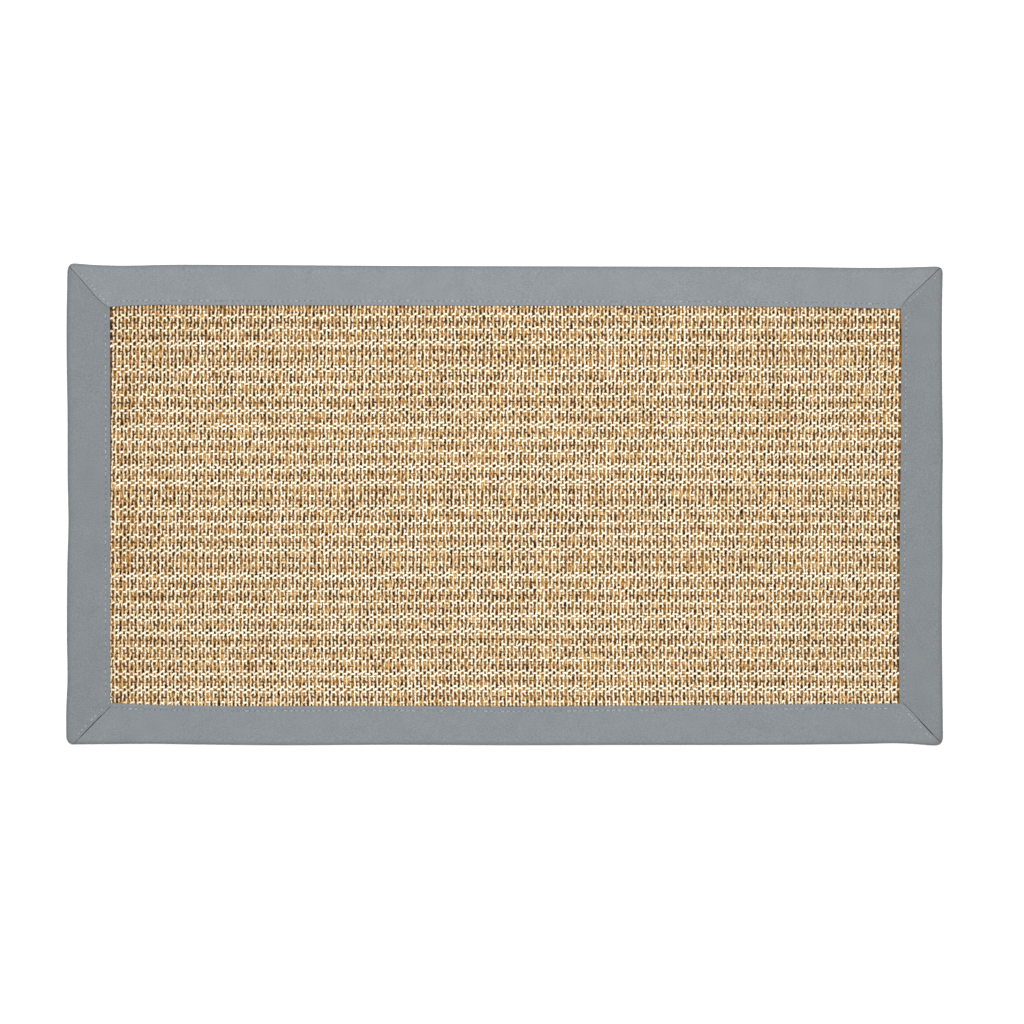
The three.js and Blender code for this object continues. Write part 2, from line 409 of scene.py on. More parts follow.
def sisal_ground():
    """One closed body: furrows on top, plain underneath, stepped all round for the tape."""
    furrows = rib_places[:-1] + RIB_PITCH / 2
    keep_x = inside_border(furrows, 0) > FURROW_INSET
    keep_y = inside_border(0, pick_places) > FURROW_INSET
    furrows = furrows[keep_x]
    beside_left = (rib_numbers[:-1][keep_x] % 2) == 1
    rows = pick_places[keep_y]
    fills = np.where(beside_left[None], left_fill[keep_y][:, None], right_fill[keep_y][:, None])
    columns, lines = len(furrows) + 2, len(rows) + 2
    x = np.zeros((lines, columns))
    y = np.zeros((lines, columns))
    x[:, 1:-1] = furrows
    y[1:-1] = rows[:, None]
    # The rim's random low fills only darken its colour: painted shadow along the tape's edge.
    fill = chance.uniform(0, RIM_PAINTED_SHADE_FILL, (lines, columns))
    fill[1:-1, 1:-1] = fills
    top, right, bottom, left = (side["reach"] for side in BORDER_SIDES)
    x[:, 0] = -(left - border_widths[3](y[:, 0])) - GROUND_TUCK
    x[:, -1] = right - border_widths[1](-y[:, -1]) + GROUND_TUCK
    y[0] = top - border_widths[0](x[0]) + GROUND_TUCK
    y[-1] = -(bottom - border_widths[2](-x[-1])) - GROUND_TUCK
    fill[1:-1, 1:-1] += FURROW_SPREAD * chance.normal(size=fills.shape)
    z = FURROW_LOW + (FURROW_HIGH - FURROW_LOW) * np.clip(fill, 0, 1)
    z[[0, -1]] = FURROW_HIGH
    z[:, [0, -1]] = FURROW_HIGH
    x[1:-1, 1:-1] += hand_drift(x, y)[1:-1, 1:-1]
    y[1:-1, 1:-1] += pick_bow(x, y)[1:-1, 1:-1]
    vertices = [np.stack([x, y, z], -1).reshape(-1, 3)]
    # The tone follows the fill, so the holes get painted shade, and the edge darkening is added.
    tones = [(fill + edge_darkening(x, y)).reshape(-1)]
    number = np.arange(lines * columns).reshape(lines, columns)
    faces = grid_faces(number)
    top_share = (x[0] - x[0, 0]) / (x[0, -1] - x[0, 0])
    right_share = (y[0, -1] - y[:, -1]) / (y[0, -1] - y[-1, -1])
    bottom_share = (x[-1, -1] - x[-1]) / (x[-1, -1] - x[-1, 0])
    left_share = (y[:, 0] - y[-1, 0]) / (y[0, 0] - y[-1, 0])
    rim = [
        *[(0, number[0, j], top_share[j]) for j in range(columns - 1)],
        *[(1, number[i, -1], right_share[i]) for i in range(lines - 1)],
        *[(2, number[-1, j], bottom_share[j]) for j in range(columns - 1, 0, -1)],
        *[(3, number[i, 0], left_share[i]) for i in range(lines - 1, 0, -1)],
    ]
    loops = [
        (-4.0, RIM_HIGH, True), (FOLD_RADIUS + 1.5, RIM_HIGH, False),
        (FOLD_RADIUS, RIM_HIGH - 0.6, False), (FOLD_RADIUS, RIM_LOW + 0.3, False),
        (UNDER_LEG, RIM_LOW, False), (UNDER_LEG, 0.0, False),
    ]
    sides, ring, shares = (np.array(part) for part in zip(*rim))
    total = lines * columns
    for depth, height, from_inner in loops:
        flat = np.zeros((len(rim), 2))
        for side in range(4):
            chosen = sides == side
            flat[chosen] = border_points(side, shares[chosen], depth, from_inner)
        vertices.append(np.column_stack([flat, np.full(len(rim), height)]))
        # The step under the tape gets a dark tone: painted shadow at the tape's edge.
        tones.append(np.full(len(rim), RIM_PAINTED_SHADE_TONE))
        fresh = np.arange(total, total + len(rim))
        total += len(rim)
        band = np.column_stack([ring, fresh])
        faces += grid_faces(np.vstack([band, band[:1]]))
        ring = fresh
    faces.append(tuple(ring))
    made = mesh_object("sisal_ground", np.vstack(vertices) * MM, faces)
    keep_values(made.data, "tone", np.concatenate(tones))
    return made


def node_maker(tree):
    """A short way to add a node, set its values and join its inputs."""
    def add(kind, inputs=None, **settings):
        node = tree.nodes.new(kind)
        for name, value in settings.items():
            setattr(node, name, value)
        for key, value in (inputs or {}).items():
            if isinstance(value, bpy.types.NodeSocket):
                tree.links.new(value, node.inputs[key])
            else:
                node.inputs[key].default_value = value
        return node
    return add


def maths(add, operation, *values):
    """The result of a sum of one to three values."""
    return add("ShaderNodeMath", dict(enumerate(values)), operation=operation).outputs[0]


def stored(add, name):
    """A number kept on the mesh, as a material reads it."""
    return add("ShaderNodeAttribute", attribute_name=name).outputs["Fac"]


def noise(add, place, scale, detail, roughness=0.5):
    inputs = {"Vector": place, "Scale": scale, "Detail": detail, "Roughness": roughness}
    return add("ShaderNodeTexNoise", inputs).outputs["Fac"]


def multiplied(add, color, shade):
    inputs = {0: 1.0, 6: color, 7: shade}
    return add("ShaderNodeMix", inputs, data_type="RGBA", blend_type="MULTIPLY").outputs[2]


def dressed(material, add, color, relief=None, finish=None):
    """Joins a colour, and a relief's height, strength and depth in metres, to the shader."""
    shader = material.node_tree.nodes["Principled BSDF"]
    material.node_tree.links.new(color, shader.inputs["Base Color"])
    if relief:
        height, strength, depth = relief
        bump = add("ShaderNodeBump", {"Strength": strength, "Distance": depth, "Height": height})
        material.node_tree.links.new(bump.outputs["Normal"], shader.inputs["Normal"])
    for name, value in (finish or {}).items():
        shader.inputs[name].default_value = value
    return material


def srgb(red, green, blue):
    """A colour in 0 to 255 screen values, as the shader's linear one."""
    linear = [((c / 255 + 0.055) / 1.055) ** 2.4 if c > 10 else c / 3295 for c in (red, green, blue)]
    return (*linear, 1)


def color_ramp(add, factor, stops):
    node = add("ShaderNodeValToRGB", {"Fac": factor})
    ramp = node.color_ramp
    while len(ramp.elements) < len(stops):
        ramp.elements.new(0.5)
    for element, (place, color) in zip(ramp.elements, stops):
        element.position = place
        element.color = color
    return node.outputs["Color"]


def furrow_material():
    """Dark coir-brown binding ends, with painted shade darkening them in the holes, and fine fibre
    grain.
    """
    material = plain_material("furrow_fibre", (0.2, 0.1, 0.04), 0.9)
    add = node_maker(material.node_tree)
    place = add("ShaderNodeTexCoord").outputs["Object"]
    stretch = add("ShaderNodeMapping", {"Vector": place, "Scale": (1800, 500, 900)}).outputs["Vector"]
    grain = noise(add, stretch, 1.0, 4.0)
    level = maths(add, "ADD", stored(add, "tone"), maths(add, "MULTIPLY_ADD", grain, 0.5, -0.25))
    color = color_ramp(add, level, [
        (0.0, srgb(38, 21, 5)), (0.35, srgb(101, 62, 12)), (0.7, srgb(154, 108, 46)),
        (1.0, srgb(191, 147, 82)),
    ])
    return dressed(material, add, color, (grain, 0.6, 0.0004), {"Specular IOR Level": 0.15})


def latex_material():
    """The plain latex coat of the underside, with the cloth's grid showing faintly through."""
    material = plain_material("latex_back", (0.5, 0.45, 0.36), 0.8)
    add = node_maker(material.node_tree)
    place = add("ShaderNodeTexCoord").outputs["Object"]
    blotch = noise(add, place, 60.0, 5.0)
    color = color_ramp(add, blotch, [(0.3, srgb(182, 171, 148)), (0.7, srgb(198, 188, 166))])
    pitches = (1 / (RIB_PITCH * MM), 1 / (PICK * MM), 1.0)
    grid = add("ShaderNodeMapping", {"Vector": place, "Scale": pitches})
    parts = add("ShaderNodeSeparateXYZ", {"Vector": grid.outputs["Vector"]}).outputs
    waves = [
        maths(add, "COSINE", maths(add, "MULTIPLY", parts[axis], 2 * math.pi)) for axis in ("X", "Y")
    ]
    weave = maths(add, "ADD", *waves)
    height = maths(add, "MULTIPLY_ADD", blotch, 3.0, weave)
    return dressed(material, add, color, (height, 0.35, 0.0003))


ground = sisal_ground()
ground.data.materials.append(furrow_material())
ground.data.materials.append(latex_material())
ground.data.polygons[len(ground.data.polygons) - 1].material_index = 1
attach(ground, "root")
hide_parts("sisal_field")

# The ribs: thick two-ply sisal yarns laid side by side, cream with tan and ochre stretches.
# The plain ribs stay on top from edge to edge. The looped ribs dip under the brown cross
# yarns, so each shows as a pair of beads at every dip.
PLAIN_WIDTH = 3.7
LOOPED_WIDTH = 3.3
RIB_FLATNESS = 0.82
YARN_SIDES = 5
RIB_CREST = 6.45
RIB_AT_BRIDGE = 6.1
# How a looped rib goes down and up again at a dip: shares of a pick from it, and heights.
DIP_STEPS = [(0.58, 5.9), (0.32, 4.1), (-0.32, 4.1), (-0.58, 5.9)]
UNDER_TAPE = 5
RIB_WANDER = 0.42
RIB_THICKNESS_SPREAD = 0.12
RIB_OWN_SPREAD = 0.04
RIB_HEIGHT_SPREAD = 0.12
PLAIN_TONE = 0.55
LOOPED_TONE = 0.62
RIB_TONE_SPREAD = 0.075
ROW_TONE_SPREAD = 0.04
# How much of its tone's spread a yarn has as its own, and from point to point.
OWN_TONE = 0.5
POINT_TONE = 1.9
STRETCH_LENGTH = 40
PLY_LENGTH = 7.5
# Painted highlight: how much paler the bead just above a dip is, where the yarn stands proud.
PAINTED_BEAD_HIGHLIGHT = 0.15
# How thick a rib stays at each kind of pick.
SQUEEZE = {"dip": 0.98, "bead": 0.88, "left": 0.67, "right": 0.67}


def new_tree(name, **sockets):
    """An empty geometry tree with the named inputs of each kind."""
    tree = bpy.data.node_groups.new(name, "GeometryNodeTree")
    face = tree.interface
    face.new_socket("Geometry", in_out="INPUT", socket_type="NodeSocketGeometry")
    for kind, names in sockets.items():
        for socket in names:
            face.new_socket(socket, in_out="INPUT", socket_type="NodeSocket" + kind)
    face.new_socket("Geometry", in_out="OUTPUT", socket_type="NodeSocketGeometry")
    return tree


def kept(add, geometry, name, value):
    """The geometry with a number kept on its points."""
    inputs = {"Geometry": geometry, "Name": name, "Value": value}
    return add("GeometryNodeStoreNamedAttribute", inputs).outputs["Geometry"]


def swept(add, line, scale, sides, radius, squash=None):
    """A closed smooth yarn along a line, with the distance along and around it kept."""
    line = add("GeometryNodeSetCurveNormal", {"Curve": line}, mode="Z_UP").outputs["Curve"]
    line = kept(add, line, "along", add("GeometryNodeSplineParameter").outputs["Length"])
    ring = add("GeometryNodeCurvePrimitiveCircle", {"Resolution": sides, "Radius": radius})
    start = maths(add, "ADD", maths(add, "DIVIDE", math.pi, sides), math.pi / 2)
    spin = add("ShaderNodeCombineXYZ", {"Z": start}).outputs["Vector"]
    ring = add("GeometryNodeTransform", {"Geometry": ring.outputs["Curve"], "Rotation": spin})
    if squash is not None:
        ring = add("GeometryNodeTransform", {"Geometry": ring.outputs["Geometry"], "Scale": squash})
    round_share = add("GeometryNodeSplineParameter").outputs["Factor"]
    ring = kept(add, ring.outputs["Geometry"], "around", round_share)
    yarn = add("GeometryNodeCurveToMesh", {
        "Curve": line, "Profile Curve": ring, "Scale": scale, "Fill Caps": True,
    }).outputs["Mesh"]
    return add("GeometryNodeSetShadeSmooth", {"Geometry": yarn}).outputs["Geometry"]


def close_tree(add, geometry, yarn):
    """Ends a tree with its real geometry in the yarn's material."""
    real = add("GeometryNodeRealizeInstances", {"Geometry": geometry}).outputs["Geometry"]
    real = add("GeometryNodeSetMaterial", {"Geometry": real, "Material": yarn}).outputs["Geometry"]
    add("NodeGroupOutput", {"Geometry": real})


def sweep_tree():
    """Turns lines into closed yarns."""
    tree = new_tree("yarn_sweep", Int=["Sides"], Float=["Flatness"], Material=["Yarn"])
    add = node_maker(tree)
    given = add("NodeGroupInput").outputs
    line = add("GeometryNodeMeshToCurve", {"Mesh": given["Geometry"]}).outputs["Curve"]
    thick = add("GeometryNodeInputNamedAttribute", {"Name": "thick"}).outputs["Attribute"]
    squash = add("ShaderNodeCombineXYZ", {"X": 1.0, "Y": given["Flatness"], "Z": 1.0}).outputs["Vector"]
    close_tree(add, swept(add, line, thick, given["Sides"], 1.0, squash), given["Yarn"])
    return tree


def grown(source, tree, values, name):
    """The plain mesh that a geometry tree makes of an object, which is then removed."""
    modifier = source.modifiers.new("grow", "NODES")
    modifier.node_group = tree
    for item in tree.interface.items_tree:
        if item.in_out == "INPUT" and item.name in values:
            modifier[item.identifier] = values[item.name]
    seen = source.evaluated_get(bpy.context.evaluated_depsgraph_get())
    data = bpy.data.meshes.new_from_object(seen)
    source.modifiers.remove(modifier)
    bpy.data.objects.remove(source)
    data.name = name
    return linked(name, data)


def yarn_lines(name, lines):
    """A mesh of bare lines, each a dict of its points, thickness and tone along it."""
    data = bpy.data.meshes.new(name)
    points = np.vstack([line["points"] for line in lines]) * MM
    edges = []
    first = 0
    for line in lines:
        count = len(line["points"])
        here = np.arange(first, first + count - 1)
        edges.append(np.column_stack([here, here + 1]))
        first += count
    edges = np.vstack(edges)
    data.vertices.add(len(points))
    data.vertices.foreach_set("co", points.ravel())
    data.edges.add(len(edges))
    data.edges.foreach_set("vertices", edges.ravel())
    for key in ("thick", "tone", "picks"):
        values = np.concatenate([line[key] for line in lines])
        keep_values(data, key, values * (MM if key == "thick" else 1))
    return linked(name, data)


def sisal_yarn_material():
    """Twisted sisal: cream to ochre by stretches, with painted shade low on its sides, and fine fibres.
    """
    material = plain_material("sisal_yarn", (0.7, 0.6, 0.45), 0.75)
    add = node_maker(material.node_tree)
    tone = stored(add, "tone")
    along = stored(add, "along")
    around = stored(add, "around")
    place = add("ShaderNodeTexCoord").outputs["Object"]
    strand = maths(add, "MULTIPLY_ADD", along, 1 / (PLY_LENGTH * MM), around)
    plies = maths(add, "SINE", maths(add, "MULTIPLY", strand, 4 * math.pi))
    helix = add("ShaderNodeCombineXYZ", {
        "X": maths(add, "MULTIPLY", strand, 34.0),
        "Y": maths(add, "MULTIPLY", along, 160.0),
    }).outputs["Vector"]
    apart = add("ShaderNodeVectorMath", {0: place, 1: (90.0, 0.0, 0.0)}, operation="MULTIPLY")
    spot = add("ShaderNodeVectorMath", {0: helix, 1: apart.outputs[0]}, operation="ADD").outputs[0]
    fibres = noise(add, spot, 1.0, 5.0, 0.6)
    patches = noise(add, place, 190.0, 3.0)
    level = maths(add, "MULTIPLY_ADD", fibres, 0.55, tone)
    level = maths(add, "MULTIPLY_ADD", patches, 0.45, level)
    level = maths(add, "SUBTRACT", level, 0.5)
    color = color_ramp(add, level, [
        (0.0, srgb(168, 110, 52)), (0.3, srgb(206, 176, 128)), (0.6, srgb(225, 215, 188)),
        (1.0, srgb(239, 235, 218)),
    ])
    # Painted shade: the yarn's colour darkens low on its sides, by how far round from its top a point
    # lies, and a little more between picks.
    side = maths(add, "ABSOLUTE", maths(add, "SUBTRACT", around, 0.4))
    beat = maths(add, "COSINE", maths(add, "MULTIPLY", stored(add, "picks"), 2 * math.pi))
    side = maths(add, "MULTIPLY_ADD", beat, -0.035, side)
    shade = color_ramp(add, side, [
        (0.08, (1, 1, 1, 1)), (0.17, srgb(203, 167, 114)), (0.28, srgb(106, 64, 12)),
    ])
    height = maths(add, "MULTIPLY_ADD", fibres, 0.8, plies)
    finish = {"Specular IOR Level": 0.2, "Sheen Weight": 0.15}
    return dressed(material, add, multiplied(add, color, shade), (height, 0.7, 0.0004), finish)


row_tint = chance.normal(0, ROW_TONE_SPREAD, len(pick_roles))
yarn_sweep = sweep_tree()
sisal_yarn = sisal_yarn_material()


def stretch_tones(count, places, mean, spread):
    """Tones along a yarn that change slowly from stretch to stretch, as spun sisal does."""
    first, last = places.min() - STRETCH_LENGTH, places.max() + 2 * STRETCH_LENGTH
    knots = np.arange(first, last, STRETCH_LENGTH / 2)
    slow = np.interp(places, knots, chance.normal(0, spread, len(knots)))
    own = mean + chance.normal(0, spread * OWN_TONE)
    return own + slow + chance.normal(0, spread * POINT_TONE, count)


def rib_line(number, x):
    """One rib's line from above the field to below it, following the chart."""
    looped = number % 2 == 0
    steps = []
    for k, role in enumerate(pick_roles):
        y = pick_places[k]
        if role == "dip" and looped:
            for offset, top in DIP_STEPS:
                steps.append((y + offset * PICK, top, k))
        elif role in ("left", "right"):
            steps.append((y, RIB_AT_BRIDGE, k))
        else:
            steps.append((y, RIB_CREST, k))
    y, top, pick = (np.array(column) for column in zip(*steps))
    pick = pick.astype(int)
    across = x + hand_drift(x, y)
    y = y + pick_bow(across, y)
    shown = inside_border(across, y) > -UNDER_TAPE
    if shown.sum() < 3:
        return None
    y, top, pick, across = y[shown], top[shown], pick[shown], across[shown]
    count = len(y)
    width = LOOPED_WIDTH if looped else PLAIN_WIDTH
    thick = width / 2 * (1 + RIB_THICKNESS_SPREAD * chance.normal(size=count))
    thick = thick * (1 + RIB_OWN_SPREAD * chance.normal())
    thick = thick * np.array([SQUEEZE[pick_roles[k]] for k in pick])
    top = pressed(across, y, top + RIB_HEIGHT_SPREAD * chance.normal(size=count))
    across = across + RIB_WANDER * chance.normal(size=count)
    points = np.column_stack([across, y, top - thick * RIB_FLATNESS])
    tone = stretch_tones(count, y, LOOPED_TONE if looped else PLAIN_TONE, RIB_TONE_SPREAD)
    tone = tone + row_tint[pick] + edge_darkening(across, y)
    # The bead just above a dip, which stands proud, gets a painted highlight.
    if looped:
        proud = np.array([pick_roles[k:k + 2] == ["bead", "dip"] for k in pick])
        tone = tone + PAINTED_BEAD_HIGHLIGHT * proud
    turns = (FIRST_DIP - y) / PICK
    return {"points": points, "thick": thick, "tone": tone, "picks": turns}


rib_groups = {"plain_ribs": [], "looped_ribs_left": [], "looped_ribs_right": []}
for rib_number, rib_place in zip(rib_numbers, rib_places):
    rib = rib_line(rib_number, rib_place)
    if rib is None:
        continue
    if rib_number % 2:
        rib_groups["plain_ribs"].append(rib)
    else:
        rib_groups["looped_ribs_left" if rib_number < 0 else "looped_ribs_right"].append(rib)

for group_name, group_lines in rib_groups.items():
    ribs = grown(
        yarn_lines(group_name, group_lines), yarn_sweep,
        {"Sides": YARN_SIDES, "Flatness": RIB_FLATNESS, "Yarn": sisal_yarn}, group_name,
    )
    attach(ribs, "root")

# The cross yarns: darker, browner sisal laid straight across the rug at each dip. They run
# under the plain ribs and over the looped ones, and show there as short brown bars.
CROSS_WIDTH = 2.8
CROSS_TOP = 5.4
CROSS_SLANT = 0.25
CROSS_ROW_UNDER_TAPE = 3
CROSS_UNDER_TAPE = 4
CROSS_WANDER = 0.12
CROSS_HEIGHT_SPREAD = 0.15
CROSS_THICKNESS_SPREAD = 0.18
CROSS_FLATNESS = 0.9
CROSS_TONE = 0.38
CROSS_TONE_SPREAD = 0.28
CROSS_TONE_STEP = 0.3


def cross_yarn_material():
    """The same spun fibre in a warm mid brown, with the same painted shade on its sides."""
    material = sisal_yarn.copy()
    material.name = "brown_cross_yarn"
    ramps = [node for node in material.node_tree.nodes if node.bl_idname == "ShaderNodeValToRGB"]
    browns = [srgb(82, 50, 9), srgb(116, 77, 23), srgb(146, 102, 46), srgb(184, 140, 76)]
    for element, color in zip(ramps[0].color_ramp.elements, browns):
        element.color = color
    return material


cross_lines = []
for pick, role in enumerate(pick_roles):
    if role != "dip" or inside_border(0, pick_places[pick]) < -CROSS_ROW_UNDER_TAPE:
        continue
    looped = rib_places[rib_numbers % 2 == 0]
    x = np.column_stack([looped - RIB_PITCH / 2, looped + RIB_PITCH / 2]).ravel()
    slant = np.tile([CROSS_SLANT, -CROSS_SLANT], len(looped))
    x = x + hand_drift(x, pick_places[pick])
    y = pick_places[pick] + pick_bow(x, pick_places[pick]) + slant
    y = y + CROSS_WANDER * chance.normal(size=len(x))
    near = inside_border(x, y) > -CROSS_UNDER_TAPE
    x, y = x[near], y[near]
    top = pressed(x, y, CROSS_TOP + CROSS_HEIGHT_SPREAD * chance.normal(size=len(x)))
    thick = CROSS_WIDTH / 2 * (1 + CROSS_THICKNESS_SPREAD * chance.normal(size=len(x)))
    points = np.column_stack([x, y, top - thick * CROSS_FLATNESS])
    step = np.tile([-CROSS_TONE_STEP, CROSS_TONE_STEP], len(looped))[near]
    tone = stretch_tones(len(x), x, CROSS_TONE, CROSS_TONE_SPREAD) + step + edge_darkening(x, y)
    cross_lines.append({"points": points, "thick": thick, "tone": tone, "picks": np.full(len(x), 0.5)})
cross_yarns = grown(
    yarn_lines("cross_yarns", cross_lines), yarn_sweep,
    {"Sides": YARN_SIDES, "Flatness": CROSS_FLATNESS, "Yarn": cross_yarn_material()}, "cross_yarns",
)
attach(cross_yarns, "root")

# The bridging yarns: pale weft that comes up over the furrow between two ribs and dives
# again, first on one side of a looped rib and then on the other, like steps of a stair.
BRIDGE_SPAN = 5.0
BRIDGE_WIDTH = 3.05
BRIDGE_TOP = 6.8
BRIDGE_RISE = 1.1
BRIDGE_BEND = 0.45
BRIDGE_TILT = 0.13
BRIDGE_INSET = 1.2
BRIDGE_WANDER = 0.36
BRIDGE_HEIGHT_SPREAD = 0.08
BRIDGE_TILT_SPREAD = 0.22
BRIDGE_TONE = 0.86
BRIDGE_TONE_SPREAD = 0.1


def arch_tree():
    """Sets one arched length of yarn on each point, turned by the point's "turn"."""
    tree = new_tree(
        "arched_yarns", Float=["Span", "Width", "Rise", "Bend"], Int=["Sides", "Steps", "Seed"],
        Material=["Yarn"],
    )
    add = node_maker(tree)
    given = add("NodeGroupInput").outputs
    half = maths(add, "MULTIPLY", given["Span"], 0.5)
    back = maths(add, "MULTIPLY", half, -1.0)
    low = maths(add, "MULTIPLY", given["Rise"], -1.0)
    down = maths(add, "MULTIPLY", given["Bend"], -1.0)
    arch = add("GeometryNodeCurveQuadraticBezier", {
        "Resolution": given["Steps"],
        "Start": add("ShaderNodeCombineXYZ", {"X": back, "Y": down, "Z": low}).outputs[0],
        "Middle": add("ShaderNodeCombineXYZ", {"Y": given["Bend"], "Z": given["Rise"]}).outputs[0],
        "End": add("ShaderNodeCombineXYZ", {"X": half, "Y": down, "Z": low}).outputs[0],
    }).outputs["Curve"]
    yarn = swept(add, arch, given["Width"], given["Sides"], 0.5)
    tilt = add("GeometryNodeInputNamedAttribute", {"Name": "turn"}).outputs["Attribute"]
    size = add("FunctionNodeRandomValue", {2: 0.85, 3: 1.15, "Seed": given["Seed"]}).outputs[1]
    reach = maths(add, "SUBTRACT", 2.0, size)
    scale = add("ShaderNodeCombineXYZ", {"X": reach, "Y": size, "Z": size}).outputs[0]
    spin = add("ShaderNodeCombineXYZ", {"Z": tilt}).outputs[0]
    pose = add("FunctionNodeEulerToRotation", {"Euler": spin})
    placed = add("GeometryNodeInstanceOnPoints", {
        "Points": given["Geometry"], "Instance": yarn, "Rotation": pose.outputs[0], "Scale": scale,
    }).outputs["Instances"]
    close_tree(add, placed, given["Yarn"])
    return tree


def arches(name, places, turns, tones, sizes, yarn, seed, sides, steps):
    """Arched yarns set on places in millimetres; sizes are span, width, rise and bend."""
    data = bpy.data.meshes.new(name)
    data.vertices.add(len(places))
    data.vertices.foreach_set("co", (places * MM).ravel())
    keep_values(data, "turn", turns)
    keep_values(data, "tone", tones)
    values = {key: size * MM for key, size in zip(("Span", "Width", "Rise", "Bend"), sizes)}
    values.update({"Sides": sides, "Steps": steps, "Seed": seed, "Yarn": yarn})
    return grown(linked(name, data), arched_yarns, values, name)


arched_yarns = arch_tree()

bridge_rows = []
for pick, role in enumerate(pick_roles):
    if role not in ("left", "right"):
        continue
    x = rib_places[rib_numbers % 2 == 0] + (-0.5 if role == "left" else 0.5) * RIB_PITCH
    x = x + hand_drift(x, pick_places[pick])
    y = pick_places[pick] + pick_bow(x, pick_places[pick]) + BRIDGE_WANDER * chance.normal(size=len(x))
    shown = inside_border(x, y) > BRIDGE_INSET
    x, y = x[shown], y[shown]
    count = len(x)
    if not count:
        continue
    top = pressed(x, y, BRIDGE_TOP + BRIDGE_HEIGHT_SPREAD * chance.normal(size=count))
    tone = stretch_tones(count, x, BRIDGE_TONE, BRIDGE_TONE_SPREAD) + row_tint[pick] + edge_darkening(x, y)
    turn = BRIDGE_TILT + BRIDGE_TILT_SPREAD * chance.normal(size=count)
    places = np.column_stack([x, y, top - BRIDGE_WIDTH / 2])
    bridge_rows.append((places, turn, tone))
bridge_places, bridge_turns, bridge_tones = (np.concatenate(part) for part in zip(*bridge_rows))
for half_name, chosen in (("bridging_yarns_left", bridge_places[:, 0] < 0),
                          ("bridging_yarns_right", bridge_places[:, 0] >= 0)):
    bridges = arches(
        half_name, bridge_places[chosen], bridge_turns[chosen], bridge_tones[chosen],
        (BRIDGE_SPAN, BRIDGE_WIDTH, BRIDGE_RISE, BRIDGE_BEND), sisal_yarn,
        seed=5, sides=YARN_SIDES, steps=3,
    )
    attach(bridges, "root")

# The border: four strips of grey cotton tape, each folded round the cloth's edge and sewn
# down. A strip's folded start lies over the end of the one before it at every mitre, and
# its inner edge is turned under, so it stands a little proud of the weave.
TAPE_THICK = 1.2
TAPE_TOP = 6.9
STATION_STEP = 3.6
END_STATIONS = [0, 0.35, 0.8, 1.5, 2.6, 4.2, 6.2, 8.5, 11, 14, 18]
HEM_LINE = 5.9
OVERLAP_RISE = 0.9
# How far each strip's folded start laps over the strip before it, at shares of the depth
# from the outer fold to the inner edge.
OVERLAP_DEPTHS = [0, 0.25, 0.5, 0.75, 0.9, 1]
OVERLAPS = [
    [0.3, 1.3, 3.0, 5.6, 4.8, 3.2],
    [1.5, 2.1, 3.0, 5.2, 4.0, 2.0],
    [0.0, 0.5, 2.2, 5.3, 6.0, 5.5],
    [1.2, 1.6, 2.3, 4.3, 5.0, 5.5],
]
OVERLAP_FADE = 22
# The top leg from its outer fold to its turned inner edge: how deep in each line lies, from
# the outer edge or, if negative, from the inner edge, and how far it stands off the flat.
TOP_LEG = {
    "depth": [4.6, 6.2, 8.5, 12, 17, 23, 29, 35, -9.5, -7.6, -6.6, -5.9, -5.2, -4.2, -2.8, -1.3, -0.45],
    "rise": [0.22, 0.3, 0.18, 0, 0, 0, 0, 0, 0.02, 0, -0.14, -0.3, -0.14, 0.12, 0.3, 0.26, 0.06],
}
FOLD_STEPS = 8
LINING_FOLD_STEPS = 4
FOLD_COLUMN = len(TOP_LEG["depth"]) + 3
MITRE_GAP = 0.15
TAPE_SEED = 200


